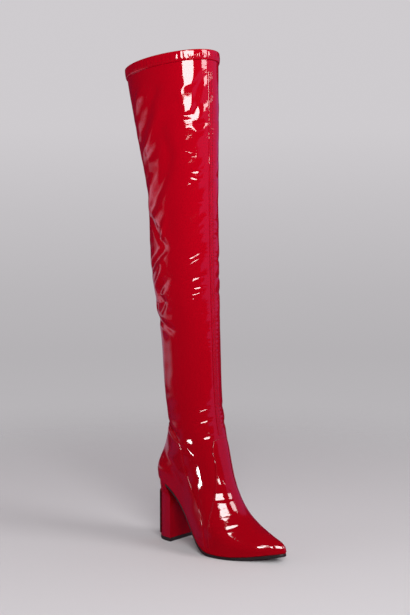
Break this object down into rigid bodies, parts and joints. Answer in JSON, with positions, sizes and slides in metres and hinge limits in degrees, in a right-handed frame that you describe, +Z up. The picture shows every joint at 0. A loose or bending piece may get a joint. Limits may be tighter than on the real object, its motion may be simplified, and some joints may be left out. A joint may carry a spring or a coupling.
{
  "type": "thigh-high boot",
  "caption": "Red patent thigh-high boot for the right foot with a pointed toe, straight block heel, narrow collar band and an inner side zip.",
  "frame": {"origin": "on the floor at the middle of the heel's top piece", "axes": "+Z up the leg, -Y towards the toe, +X towards the inner side, where the zip is"},
  "size_m": [0.1216, 0.2978, 0.7445],
  "materials": {
    "red_patent": "high gloss patent",
    "black_sole": "satin",
    "black_rubber": "matte",
    "dark_metal": "gloss",
    "insole_leather": "matte",
    "red_tape": "woven",
    "red_lacquered_metal": "gloss"
  },
  "bodies": {
    "boot": {"upper": "red_patent", "vamp": "red_patent", "heel_counter": "red_patent", "front_seam": "red_patent", "collar_band": "red_patent", "heel_block": "red_patent", "heel_top_piece": "black_rubber", "heel_back_plate": "dark_metal", "outsole": "black_sole", "insole": "insole_leather", "zip_tape": "red_tape", "zip_teeth": "red_lacquered_metal", "zip_slider": "red_lacquered_metal"},
    "pull_tab": {"zip_pull": "red_lacquered_metal"}
  },
  "joints": [
    {"name": "pull_hinge", "type": "hinge", "parent": "boot", "child": "pull_tab", "pos_m": [0.04315, -0.04611, 0.299], "axis": [-0.1607, -0.987, 0], "range_deg": [0, 150]}
  ]
}
